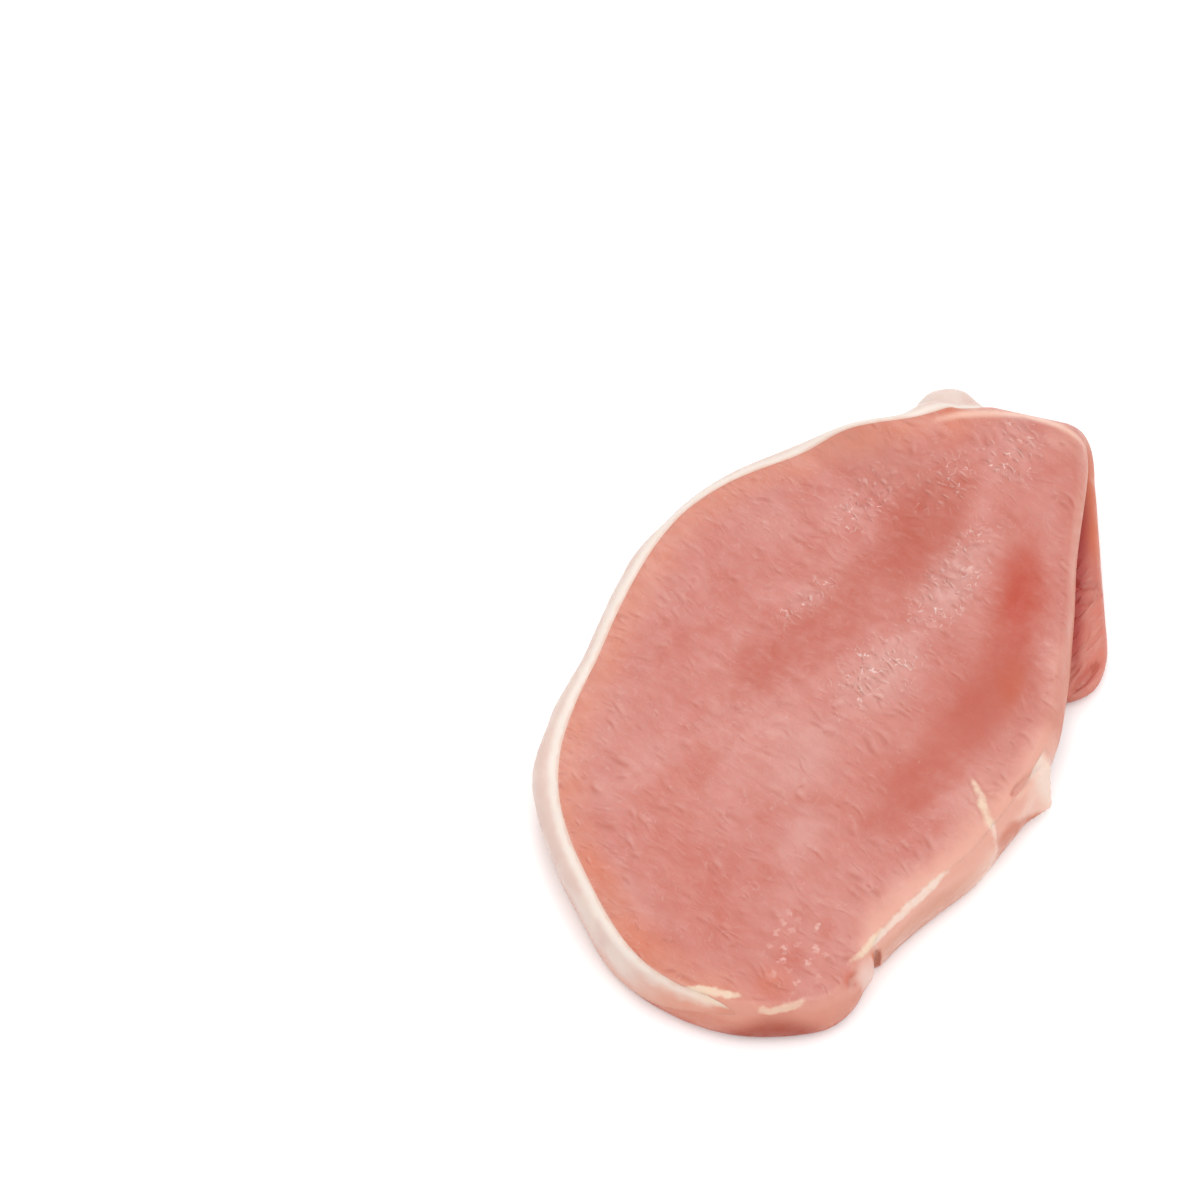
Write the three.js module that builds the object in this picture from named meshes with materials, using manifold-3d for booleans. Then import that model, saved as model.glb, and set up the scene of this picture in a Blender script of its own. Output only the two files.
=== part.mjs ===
// A raw boneless pork loin slice lying flat: the lean eye with its thin far end folded under,
// the fat cap along the back, and the strip of silverskin on the cut side.
// Units are millimetres. +X runs along the slice towards the fold, +Y towards the fat cap, +Z up.
import * as THREE from "three";
import { mergeVertices } from "three/addons/utils/BufferGeometryUtils.js";
import Module from "manifold-3d";

const wasm = await Module();
wasm.setup();

// Thickness of the slice
const bodyThickness = 11;
const foldThickness = 7;
const tailTipThickness = 4;
const thinningStart = 12;

// The fold: the crease runs nearly along Y, and the tail comes back under the slice
const foldX = 57.3;
const creaseTilt = -0.2;
const creaseMiddleY = -9;
const creaseCutEnd = -21;
const creaseFatEnd = 6;
const foldGap = 0.8;
const foldMiddle = foldGap + foldThickness / 2;
const bendLength = Math.PI * foldMiddle;
const tailStart = foldX + bendLength;
const tailLength = 38;
const drapeReach = 25;
const creaseReach = 18;
const tiltReach = 16;
const tiltFade = 0.6;
const drapeGap = 1.1;

// Edges: how far in from the outline they are rounded, and where they are widest
const topRounding = 3.2;
const cornerRounding = 6;
const shoulderRounding = 6;
const bottomRounding = 2.2;
const edgeSquareness = 2.3;
const widestShare = 0.42;
const wallFlare = 1.9;
const flareReach = 8;
const flareFrom = [-65, -52];
const flareTo = [8, 24];
const flareStart = 0.25;
const cornerPlace = [2, -23, 9];
const shoulderPlace = [-8, -39, 12];

// Relief of the upper face: the long ridge and the two hollows beside it
const ridge = { height: 0.7, width: 8, middle: 4, through: -30, slope: -0.24, rises: [-62, -20] };
const backHollow = { depth: 0.7, width: 8, middle: 15.5, drop: 17, dropAlong: [5, 48] };
const cutHollow = {
  depth: 0.9,
  width: 6,
  middle: -22.5,
  bow: 4.5,
  bowAt: 18,
  bowReach: 20,
  back: 5,
  backAlong: [30, 50],
  sinks: [-50, -15],
};
const reliefFade = 40;

// Fat cap, silverskin and the gaps between the pieces
const seamGap = 0.3;
const silverskinDepth = 1.5;
const silverskinEnds = [-40.4, 4.5];
const silverskinTaper = [5, 8];
const silverskinEndShare = 0.55;
const silverskinInset = 0.6;
const silverskinOutset = 8;
const seamSteps = 150;
const seamWidening = 8;
const fatOutside = [
  [78, 6],
  [78, 60],
  [-75, 60],
  [-75, -17],
];
const cutterDrop = 5;
const cutterHeight = 30;

// Lumps and hollows: the fat that bulges round the fold, the crevice that ends the silverskin
// beside the near lobe, and the small knob and pit next to it
const fatTab = { radii: [5.2, 6.8, 6.2], at: [59.4, 1.6, 8], turned: 0.3 };
const crevice = { radii: [0.95, 3.6, 7.5], at: [-40.9, -30.4, 4], turned: -0.5 };
const knob = { radii: [2.1, 1.8, 4.2], at: [-43.6, -28.4, 6], turned: -0.3 };
const pit = { radii: [1.8, 1.4, 1.5], at: [-46.9, -28.5, 8.7], turned: -0.5 };

// The lean under the thin end of the fat: its profile in Y and Z, and how far it runs along X
const wedgeProfile = [
  [12, -2.2],
  [-2, 4.4],
  [-9, 7.4],
  [-20, 9.6],
];
const wedgeRun = [-80, -40];

// Loose flap of silverskin: its upper edge, and its hem from the seam to the free corner
const flapThickness = 1.7;
const flapBulge = 0.5;
const flapHemShare = 0.55;
const flapRings = 12;
const flapAround = 16;
const flapEndShare = 0.05;
const flapTop = [
  [-12.5, -36.2, 8.6],
  [-8, -37.4, 9.6],
  [-3, -38.5, 10],
  [3.4, -41, 10],
];
const flapHem = [
  [-12, -37.6, 4.6],
  [-7.6, -39.2, 3.6],
  [-3.8, -41.2, 2.6],
  [0, -43.4, 2.2],
];

// Mesh density
const ribSpacing = 2.9;
const bendRibSpacing = ribSpacing / 2.4;
const edgeInsets = [0, 0.2, 0.65, 1.4, 2.5, 4.2];
const edgeShare = 0.3;
const innerColumns = 10;
const lumpAround = 18;
const lumpRings = 12;

// The slice opened out flat: X, and Y on the cut side and on the fat side
const stations = [
  [-62.3, -5, -5],
  [-61.9, -10.8, 1],
  [-60.5, -15.9, 6.4],
  [-57.8, -21.4, 11.4],
  [-53.6, -27.2, 16.9],
  [-48.4, -29.4, 23.1],
  [-42.5, -29.6, 28.9],
  [-35, -31.4, 33.9],
  [-26, -34.9, 35.8],
  [-19, -38, 36.3],
  [-12.5, -39.2, 36.2],
  [-5, -40.5, 36.8],
  [4, -40.6, 37.5],
  [13, -39.2, 37.5],
  [22, -36.4, 36.5],
  [31, -33.3, 33.6],
  [39, -30.2, 28.8],
  [46, -27.8, 22.4],
  [51.6, -25.8, 15.9],
  [foldX - 1, -24, 9.4],
  [foldX + 4, -21.7, 6],
  [foldX + 7.5, -22.9, 5],
  [foldX + 10.5, -24.3, 4.2],
  [tailStart, -25.6, 2.4],
  [tailStart + 6, -28.8, -3.6],
  [tailStart + 13, -32.8, -12],
  [tailStart + 20, -36.8, -19],
  [tailStart + 27, -40.2, -25],
  [tailStart + 33, -40.7, -30],
  [tailStart + 36.8, -38.2, -33],
  [tailStart + tailLength, -36.4, -36.4],
];

// Where the lean meets the fat cap on the opened slice, from the near end round to the fold
const fatInnerEdge = [
  [-60.6, -17],
  [-60.4, -13],
  [-60.5, -8],
  [-60.6, -3.5],
  [-59.7, 2.2],
  [-57.4, 7.3],
  [-53.8, 12.5],
  [-49.2, 18],
  [-44.1, 23.6],
  [-37.8, 28.6],
  [-30, 32.1],
  [-21, 33.7],
  [-12, 34.4],
  [-3, 35.3],
  [6, 35.7],
  [14, 35.4],
  [22.3, 33.9],
  [30.4, 30.4],
  [38.5, 24.9],
  [46, 17.8],
  [51.5, 10.9],
  [56, 5.8],
  [59, 1],
  [62, -2.4],
  [66.5, -3.2],
  [70.5, -1.6],
  [74, 3],
];

const smooth = (low, high, value) => THREE.MathUtils.smoothstep(value, low, high);
const mix = THREE.MathUtils.lerp;

// One component of a Catmull-Rom spline through the stations
function stationValue(column, u) {
  const last = stations.length - 1;
  const i = Math.min(Math.floor(u), last - 1);
  const at = (k) => stations[THREE.MathUtils.clamp(k, 0, last)][column];
  const [a, b, c, d] = [at(i - 1), at(i), at(i + 1), at(i + 2)];
  const t = u - i;
  const out = (c - a) / 2;
  const into = (d - b) / 2;
  const bend = -3 * b + 3 * c - 2 * out - into;
  const twist = 2 * b - 2 * c + out + into;
  return b + out * t + bend * t * t + twist * t * t * t;
}

// Parameters of the ribs, evenly spaced along the longer side of each stretch
function ribParameters() {
  const found = [];
  for (let i = 0; i < stations.length - 1; i++) {
    const [x0, cut0, fat0] = stations[i];
    const [x1, cut1, fat1] = stations[i + 1];
    const reach = Math.max(Math.hypot(x1 - x0, cut1 - cut0), Math.hypot(x1 - x0, fat1 - fat0));
    const onBend = x0 >= foldX - 1 && x1 <= tailStart + 1;
    const steps = Math.max(2, Math.ceil(reach / (onBend ? bendRibSpacing : ribSpacing)));
    for (let k = 0; k < steps; k++) found.push(i + k / steps);
  }
  found.push(stations.length - 1);
  return found;
}

const ribs = ribParameters().map((u) => ({
  x: stationValue(0, u),
  cut: stationValue(1, u),
  fat: stationValue(2, u),
}));
const outline = [
  ...ribs.map((r) => new THREE.Vector2(r.x, r.cut)),
  ...ribs.slice(1, -1).reverse().map((r) => new THREE.Vector2(r.x, r.fat)),
];

// The nearest point of a closed outline, with its distance
function nearestOn(points, x, y) {
  let best = { distance: Infinity, x: 0, y: 0 };
  points.forEach((a, i) => {
    const b = points[(i + 1) % points.length];
    const length = (b.x - a.x) ** 2 + (b.y - a.y) ** 2 || 1;
    const along = ((x - a.x) * (b.x - a.x) + (y - a.y) * (b.y - a.y)) / length;
    const share = THREE.MathUtils.clamp(along, 0, 1);
    const px = mix(a.x, b.x, share);
    const py = mix(a.y, b.y, share);
    const distance = Math.hypot(x - px, y - py);
    if (distance < best.distance) best = { distance, x: px, y: py };
  });
  return best;
}

function tailThickness(back) {
  return mix(foldThickness, tailTipThickness, smooth(0, tailLength, back));
}

// Long soft ridge and hollows that run with the slice
function relief(x, y) {
  const band = (middle, width) => Math.exp(-(((y - middle) / width) ** 2));
  const ridgeMiddle = ridge.middle + ridge.slope * (x - ridge.through);
  const backMiddle = backHollow.middle - backHollow.drop * smooth(...backHollow.dropAlong, x);
  const bow = Math.exp(-(((x - cutHollow.bowAt) / cutHollow.bowReach) ** 2));
  const back = cutHollow.back * smooth(...cutHollow.backAlong, x);
  const cutMiddle = cutHollow.middle - cutHollow.bow * bow + back;
  const farEnd = 1 - smooth(reliefFade, foldX, x);
  return (
    ridge.height * band(ridgeMiddle, ridge.width) * smooth(...ridge.rises, x) * farEnd -
    backHollow.depth * band(backMiddle, backHollow.width) * farEnd -
    cutHollow.depth * band(cutMiddle, cutHollow.width) * smooth(...cutHollow.sinks, x) * farEnd
  );
}

// Lowest and highest level of the opened slice at a place, before its edges are rounded
function levels(x, y) {
  if (x > tailStart) return [foldThickness - tailThickness(x - tailStart), foldThickness];
  const thickness = mix(bodyThickness, foldThickness, smooth(thinningStart, foldX, x));
  return [0, thickness + (x < foldX ? relief(x, y) : 0)];
}

function roundedShare(inset, rounding) {
  if (inset < 1e-6) return 0;
  const rest = 1 - Math.min(inset / rounding, 1);
  return (1 - rest ** edgeSquareness) ** (1 / edgeSquareness);
}

// The top edge is rounder at the folded corner and on the shoulder above the loose flap
function topRoundingAt(x, y) {
  const near = (px, py, reach) => Math.exp(-(((x - px) ** 2 + (y - py) ** 2) / reach ** 2));
  const [cornerX, cornerY, cornerReach] = cornerPlace;
  const corner = (cornerRounding - topRounding) * near(foldX + cornerX, cornerY, cornerReach);
  const shoulder = (shoulderRounding - topRounding) * near(...shoulderPlace);
  return topRounding + corner + shoulder;
}

// A point of the opened slice's skin, with its edge rounded and its wall drawn in towards the top
function skinPoint(x, y, side) {
  const edge = nearestOn(outline, x, y);
  const [low, high] = levels(x, y);
  const widest = mix(low, high, widestShare);
  const rounding = side > 0 ? topRoundingAt(x, y) : bottomRounding;
  const z = mix(widest, side > 0 ? high : low, roundedShare(edge.distance, rounding));
  const flare = 1 - smooth(0, flareReach, edge.distance);
  const cutSide = smooth(0, -20, y) * (1 - smooth(...flareTo, x)) * smooth(...flareFrom, x);
  const pull = wallFlare * flare * cutSide * smooth(flareStart, 1, z / bodyThickness);
  return new THREE.Vector3(x, y + pull, z);
}

// Columns of one rib, close together at both edges
function columnsOf(rib) {
  const width = rib.fat - rib.cut;
  const deepest = edgeInsets[edgeInsets.length - 1];
  const scale = Math.min(1, (width * edgeShare) / deepest);
  const insets = edgeInsets.map((d) => d * scale);
  const middle = [];
  for (let k = 1; k < innerColumns; k++) {
    middle.push(mix(insets.at(-1), width - insets.at(-1), k / innerColumns));
  }
  return [...insets, ...middle, ...insets.map((d) => width - d).reverse()].map((d) => rib.cut + d);
}

// The whole slice opened out flat, as one closed surface
function openedSlice() {
  const rows = ribs.map((rib) => columnsOf(rib).map((y) => [rib.x, y]));
  const columns = rows[0].length;
  const positions = [];
  const index = [];
  for (const side of [1, -1]) {
    for (const row of rows) {
      for (const [x, y] of row) positions.push(...skinPoint(x, y, side).toArray());
    }
  }
  const under = rows.length * columns;
  for (let i = 0; i < rows.length - 1; i++) {
    for (let j = 0; j < columns - 1; j++) {
      const a = i * columns + j;
      const b = a + columns;
      index.push(a, b, b + 1, a, b + 1, a + 1);
      index.push(under + a, under + b + 1, under + b, under + a, under + a + 1, under + b + 1);
    }
  }
  const geometry = new THREE.BufferGeometry();
  geometry.setAttribute("position", new THREE.Float32BufferAttribute(positions, 3));
  geometry.setIndex(index);
  return geometry;
}

// A three.js geometry as a manifold solid
function solid(geometry) {
  const bare = geometry.clone();
  for (const name of Object.keys(bare.attributes)) {
    if (name !== "position") bare.deleteAttribute(name);
  }
  const merged = mergeVertices(bare, 1e-4);
  const corners = [];
  const source = merged.index.array;
  for (let i = 0; i < source.length; i += 3) {
    const [a, b, c] = source.subarray(i, i + 3);
    if (a !== b && b !== c && c !== a) corners.push(a, b, c);
  }
  return new wasm.Manifold(
    new wasm.Mesh({
      numProp: 3,
      vertProperties: merged.attributes.position.array,
      triVerts: new Uint32Array(corners),
    }),
  );
}

function geometryOf(manifold) {
  const { vertProperties, triVerts, numProp } = manifold.getMesh();
  const positions = [];
  for (let i = 0; i < vertProperties.length; i += numProp) {
    positions.push(vertProperties[i], vertProperties[i + 1], vertProperties[i + 2]);
  }
  const geometry = new THREE.BufferGeometry();
  geometry.setAttribute("position", new THREE.Float32BufferAttribute(positions, 3));
  geometry.setIndex(Array.from(triVerts));
  return geometry;
}

// An upright prism over a plane outline, from below the slice to above it
function prism(points, low = -cutterDrop, high = cutterHeight) {
  const shape = new THREE.Shape(points);
  const geometry = new THREE.ExtrudeGeometry(shape, { depth: high - low, bevelEnabled: false });
  return geometry.translate(0, 0, low);
}

// Everything outside the fat's inner edge, moved in by a gap
function fatCutter(gap) {
  const curve = new THREE.SplineCurve(fatInnerEdge.map(([x, y]) => new THREE.Vector2(x, y)));
  const inner = curve.getPoints(seamSteps).map((p, i, all) => {
    const before = all[Math.max(i - 1, 0)];
    const after = all[Math.min(i + 1, all.length - 1)];
    const along = after.clone().sub(before).normalize();
    const reach = gap * (1 + smooth(foldX - seamWidening, foldX, p.x));
    return new THREE.Vector2(p.x + along.y * reach, p.y - along.x * reach);
  });
  const outer = fatOutside.map(([x, y]) => new THREE.Vector2(x, y));
  return prism([...inner, ...outer]);
}

// The block with a sloping top that is the lean under the thin end of the fat
function nearEndWedge(gap) {
  const slope = wedgeProfile.map(([y, z]) => new THREE.Vector2(y, z - gap));
  const first = new THREE.Vector2(wedgeProfile[0][0], -cutterDrop);
  const last = new THREE.Vector2(wedgeProfile.at(-1)[0], -cutterDrop);
  const geometry = prism([first, ...slope, last], ...wedgeRun);
  // The profile's own axes become Y and Z, and its length runs along X
  const axes = new THREE.Matrix4().makeBasis(
    new THREE.Vector3(0, 1, 0),
    new THREE.Vector3(0, 0, 1),
    new THREE.Vector3(1, 0, 0),
  );
  return geometry.applyMatrix4(axes);
}

// The band of the cut side's wall that the silverskin covers
function silverskinCutter(gap) {
  const depth = silverskinDepth + gap;
  const inner = [];
  const outer = [];
  const first = silverskinEnds[0] - gap;
  const last = silverskinEnds[1] + gap;
  const [firstTaper, lastTaper] = silverskinTaper;
  for (const rib of ribs) {
    if (rib.x < first || rib.x > last || rib.x > foldX) continue;
    const starts = smooth(first, first + firstTaper, rib.x);
    const full = starts * (1 - smooth(last - lastTaper, last, rib.x));
    const reach = depth * mix(silverskinEndShare, 1, full) + silverskinInset;
    inner.push(new THREE.Vector2(rib.x, rib.cut + reach));
    outer.push(new THREE.Vector2(rib.x, rib.cut - silverskinOutset));
  }
  return prism([...outer, ...inner.reverse()]);
}

// The loose end of the silverskin, a small skirt that flares out and down from the shoulder
function looseFlap(gap) {
  const top = new THREE.CatmullRomCurve3(flapTop.map((p) => new THREE.Vector3(...p)));
  const hem = new THREE.CatmullRomCurve3(flapHem.map((p) => new THREE.Vector3(...p)));
  const points = [];
  for (let i = 0; i <= flapRings; i++) {
    const share = i / flapRings;
    const high = top.getPoint(share);
    const low = hem.getPoint(share);
    const down = low.clone().sub(high);
    const along = top.getTangent(share);
    const out = along.clone().cross(down).normalize();
    const thin = Math.sqrt(Math.max(flapEndShare, 1 - (2 * share - 1) ** 6));
    const half = (flapThickness / 2) * mix(1, flapHemShare, share) * thin;
    for (let k = 0; k < flapAround; k++) {
      const turn = (k / flapAround) * Math.PI * 2;
      const fall = 0.5 - 0.5 * Math.cos(turn);
      const bulge = flapBulge * Math.sin(Math.PI * fall) + half * Math.sin(turn);
      const grow = Math.sin(turn) < 0 ? gap : 0;
      points.push(high.clone().addScaledVector(down, fall).addScaledVector(out, bulge - grow));
    }
  }
  return closedTube(points, flapAround);
}

// Rings of points joined into one closed surface, with a fan at each end
function closedTube(points, around) {
  const rings = points.length / around;
  const positions = points.flatMap((p) => p.toArray());
  const index = [];
  for (let i = 0; i < rings - 1; i++) {
    for (let k = 0; k < around; k++) {
      const a = i * around + k;
      const b = i * around + ((k + 1) % around);
      index.push(a, a + around, b, b, a + around, b + around);
    }
  }
  for (const [ring, turned] of [
    [0, false],
    [rings - 1, true],
  ]) {
    for (let k = 1; k < around - 1; k++) {
      const fan = [ring * around, ring * around + k, ring * around + k + 1];
      index.push(...(turned ? fan.reverse() : fan));
    }
  }
  const geometry = new THREE.BufferGeometry();
  geometry.setAttribute("position", new THREE.Float32BufferAttribute(positions, 3));
  geometry.setIndex(index);
  return geometry;
}

// A smooth lump, grown by a gap where it is used as a cutter
function lump({ radii, at, turned = 0 }, gap = 0) {
  const geometry = new THREE.SphereGeometry(1, lumpAround, lumpRings);
  const [rx, ry, rz] = radii.map((r) => r + gap);
  return geometry.scale(rx, ry, rz).rotateZ(turned).translate(...at);
}

// The tail's footprint under the slice
const tailFootprint = (() => {
  const back = ribs.filter((rib) => rib.x >= tailStart);
  const place = (rib) => foldX - (rib.x - tailStart);
  return [
    ...back.map((rib) => new THREE.Vector2(place(rib), rib.cut)),
    ...back.slice(0, -1).reverse().map((rib) => new THREE.Vector2(place(rib), rib.fat)),
  ];
})();

function insideOf(points, x, y) {
  let inside = false;
  points.forEach((a, i) => {
    const b = points[(i + 1) % points.length];
    if (a.y > y !== b.y > y && x < ((b.x - a.x) * (y - a.y)) / (b.y - a.y) + a.x) inside = !inside;
  });
  return inside;
}

// How far the tail lifts the slice that lies over it
function lift(x, y) {
  const creaseLift = foldThickness + 2 * foldGap;
  const back = foldX - x;
  const away = insideOf(tailFootprint, x, y) ? 0 : nearestOn(tailFootprint, x, y).distance;
  const drape = 1 - smooth(0, drapeReach, away);
  const over = (tailThickness(Math.min(back, tailLength)) + drapeGap) * drape;
  return mix(creaseLift, over, smooth(0, creaseReach, back));
}

// Folds the opened slice's far end under, and lays the rest over it
function folded(geometry) {
  const position = geometry.getAttribute("position");
  const axisHeight = foldGap + foldThickness;
  for (let i = 0; i < position.count; i++) {
    const [x, y, z] = [position.getX(i), position.getY(i), position.getZ(i)];
    const across = THREE.MathUtils.clamp(y, creaseCutEnd, creaseFatEnd) - creaseMiddleY;
    const tilt = creaseTilt * across * smooth(foldX - tiltReach, foldX, x);
    if (x <= foldX) {
      position.setXYZ(i, x + tilt, y, z + lift(x, y));
      continue;
    }
    const turn = Math.min((x - foldX) / foldMiddle, Math.PI);
    const beyond = Math.max(x - tailStart, 0);
    const straight = tilt * (1 - smooth(0, tailLength * tiltFade, beyond));
    const out = foldGap + z;
    const foldedX = foldX + out * Math.sin(turn) - beyond + straight;
    position.setXYZ(i, foldedX, y, axisHeight + out * Math.cos(turn));
  }
  geometry.computeVertexNormals();
  return geometry;
}

function piece(name, geometry, color, roughness) {
  const material = new THREE.MeshStandardMaterial({ color, roughness, metalness: 0 });
  const mesh = new THREE.Mesh(geometry, material);
  mesh.name = name;
  return mesh;
}

const slice = solid(openedSlice());
const fatRegion = solid(fatCutter(0)).subtract(solid(nearEndWedge(0)));
const fatRegionGrown = solid(fatCutter(seamGap)).subtract(solid(nearEndWedge(seamGap)));
const skinRegion = solid(silverskinCutter(0));
const skinRegionGrown = solid(silverskinCutter(seamGap));

const openLean = slice.subtract(fatRegionGrown).subtract(skinRegionGrown);
const openFat = slice.intersect(fatRegion);
const openSkin = slice.intersect(skinRegion);

const foldedSolid = (opened) => solid(folded(geometryOf(opened)));
const lean = foldedSolid(openLean)
  .add(solid(lump(knob)))
  .subtract(solid(lump(pit)))
  .subtract(solid(lump(crevice)))
  .subtract(solid(lump(fatTab, seamGap)))
  .subtract(solid(looseFlap(seamGap)));
const fat = foldedSolid(openFat).add(solid(lump(fatTab)));
const silverskin = foldedSolid(openSkin).subtract(solid(lump(crevice))).add(solid(looseFlap(0)));

const slicePieces = new THREE.Group();
slicePieces.add(piece("lean_eye", geometryOf(lean), 0xdc9485, 0.45));
slicePieces.add(piece("fat_cap", geometryOf(fat), 0xf3e2d8, 0.5));
slicePieces.add(piece("silverskin", geometryOf(silverskin), 0xe6b29c, 0.4));

// The origin is below the middle of the whole slice, on the surface that it lies on
const bounds = new THREE.Box3().setFromObject(slicePieces);
const middle = bounds.getCenter(new THREE.Vector3());
slicePieces.position.set(-middle.x, -middle.y, -bounds.min.z);

const group = new THREE.Group();
group.add(slicePieces);

export default group;
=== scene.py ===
import math

import bpy
from mathutils import Matrix, Vector
from mathutils.bvhtree import BVHTree

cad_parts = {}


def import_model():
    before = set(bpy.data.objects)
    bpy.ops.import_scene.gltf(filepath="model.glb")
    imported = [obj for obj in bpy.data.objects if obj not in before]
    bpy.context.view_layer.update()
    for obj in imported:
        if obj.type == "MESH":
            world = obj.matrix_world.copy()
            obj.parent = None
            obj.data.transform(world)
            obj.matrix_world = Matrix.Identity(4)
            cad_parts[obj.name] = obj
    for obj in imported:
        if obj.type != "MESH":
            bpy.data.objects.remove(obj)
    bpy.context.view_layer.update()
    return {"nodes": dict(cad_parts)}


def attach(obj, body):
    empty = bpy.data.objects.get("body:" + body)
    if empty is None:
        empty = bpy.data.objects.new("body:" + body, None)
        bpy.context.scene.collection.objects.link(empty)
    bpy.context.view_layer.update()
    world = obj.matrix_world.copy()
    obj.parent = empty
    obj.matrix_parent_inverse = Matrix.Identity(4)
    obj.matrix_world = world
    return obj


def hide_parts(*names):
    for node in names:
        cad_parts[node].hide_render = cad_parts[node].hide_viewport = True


# A raw pork loin slice: the lean eye, its fat cap and the silverskin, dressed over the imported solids.
# Metres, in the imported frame: +X towards the folded end, +Y towards the fat cap, +Z up.
# Sizes in the dictionaries are millimetres, turned into metres where they are used.

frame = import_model()
mm = 0.001
print("packed slice loaded")


# Camera, lights and floor

shot = {
    "azimuth": -64,
    "elevation": 57,
    "distance": 800,
    "aim": (2.894, 44.538, 0),
    "lens": 141.6,
}
studio = {
    "world": 1.0,
    "floorSize": 6000,
    "floorColour": 0.96,
    "top": {"azimuth": -45, "elevation": 70, "distance": 900, "size": 1100, "power": 4.4},
    "sheen": {"azimuth": 122, "elevation": 52, "distance": 800, "size": 300, "power": 1.1},
}


def directionTo(azimuth, elevation):
    turn, rise = math.radians(azimuth), math.radians(elevation)
    return Vector((math.sin(turn) * math.cos(rise), -math.cos(turn) * math.cos(rise), math.sin(rise)))


def addCamera():
    back = directionTo(shot["azimuth"], shot["elevation"])
    place = (Vector(shot["aim"]) + back * shot["distance"]) * mm
    turned = (math.radians(90 - shot["elevation"]), 0, math.radians(shot["azimuth"]))
    bpy.ops.object.camera_add(location=place, rotation=turned)
    camera = bpy.context.object
    camera.data.lens = shot["lens"]
    camera.data.sensor_width = 36
    camera.data.clip_start = 0.01
    bpy.context.scene.camera = camera


def addSoftbox(name):
    box = studio[name]
    toBox = directionTo(box["azimuth"], box["elevation"])
    facing = toBox.to_track_quat("Z", "Y").to_euler()
    bpy.ops.object.light_add(type="AREA", location=toBox * box["distance"] * mm, rotation=facing)
    light = bpy.context.object
    light.name = name + "Softbox"
    light.data.shape = "DISK"
    light.data.size = box["size"] * mm
    light.data.energy = box["power"]


def addWorld():
    world = bpy.data.worlds.new("studioWhite")
    world.use_nodes = True
    bpy.context.scene.world = world
    background = world.node_tree.nodes["Background"]
    background.inputs["Color"].default_value = (1, 1, 1, 1)
    background.inputs["Strength"].default_value = studio["world"]


def addFloor():
    bpy.ops.mesh.primitive_plane_add(size=studio["floorSize"] * mm, location=(0, 0, 0))
    floor = bpy.context.object
    floor.name = "floor"
    paint = bpy.data.materials.new("floorPaint")
    paint.use_nodes = True
    shader = paint.node_tree.nodes["Principled BSDF"]
    shader.inputs["Base Color"].default_value = (*[studio["floorColour"]] * 3, 1)
    shader.inputs["Roughness"].default_value = 1.0
    shader.inputs["Specular IOR Level"].default_value = 0.0
    floor.data.materials.append(paint)


addCamera()
addSoftbox("top")
addSoftbox("sheen")
addWorld()
addFloor()
bpy.context.scene.view_settings.view_transform = "Standard"
print("camera, lights and floor placed")


# Small helpers for modelling

def only(*pieces):
    bpy.ops.object.select_all(action="DESELECT")
    for piece in pieces:
        piece.select_set(True)
    bpy.context.view_layer.objects.active = pieces[0]


def applyModifiers(piece):
    only(piece)
    for modifier in list(piece.modifiers):
        bpy.ops.object.modifier_apply(modifier=modifier.name)


def remove(piece):
    only(piece)
    bpy.ops.object.delete()


def swell(piece, distance, group=None):
    modifier = piece.modifiers.new("swell", "DISPLACE")
    modifier.strength = distance * mm
    modifier.mid_level = 0
    if group:
        modifier.vertex_group = group
    applyModifiers(piece)


def relax(piece, rounds, group=None):
    modifier = piece.modifiers.new("relax", "SMOOTH")
    modifier.factor = 0.5
    modifier.iterations = rounds
    if group:
        modifier.vertex_group = group
    applyModifiers(piece)


def combine(piece, cutter, operation):
    modifier = piece.modifiers.new("cut", "BOOLEAN")
    modifier.operation = operation
    modifier.object = cutter
    modifier.solver = "MANIFOLD"
    applyModifiers(piece)


def copyOf(piece, name):
    made = piece.copy()
    made.data = piece.data.copy()
    made.name = name
    bpy.context.scene.collection.objects.link(made)
    return made


def smoothstep(low, high, value):
    share = min(max((value - low) / (high - low), 0), 1)
    return share * share * (3 - 2 * share)


leastWeight = 0.01


def addGroup(piece, name, weights):
    group = piece.vertex_groups.new(name=name)
    for index, weight in enumerate(weights):
        if weight > leastWeight:
            group.add([index], min(weight, 1), "REPLACE")


def weigh(piece, name, rule):
    # a vertex group whose weight follows from each point's place in millimetres and its normal
    addGroup(piece, name, [rule(vertex.co / mm, vertex.normal) for vertex in piece.data.vertices])


def record(piece, name, values):
    attribute = piece.data.attributes.new(name, "FLOAT", "POINT")
    attribute.data.foreach_set("value", values)


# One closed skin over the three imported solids, with the gaps between them closed

skin = {
    "grow": 0.22,
    "voxel": 0.5,
    "firstSmoothing": 5,
    "broadSmoothing": 130,
    "mergeDistance": 0.01,
}


def mergedNode(name):
    node = frame["nodes"][name]
    piece = bpy.data.objects.new(name + "Copy", node.data.copy())
    bpy.context.scene.collection.objects.link(piece)
    only(piece)
    bpy.ops.object.mode_set(mode="EDIT")
    bpy.ops.mesh.select_all(action="SELECT")
    bpy.ops.mesh.remove_doubles(threshold=skin["mergeDistance"] * mm)
    bpy.ops.object.mode_set(mode="OBJECT")
    bpy.ops.mesh.customdata_custom_splitnormals_clear()
    bpy.ops.object.shade_smooth()
    return piece


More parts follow.
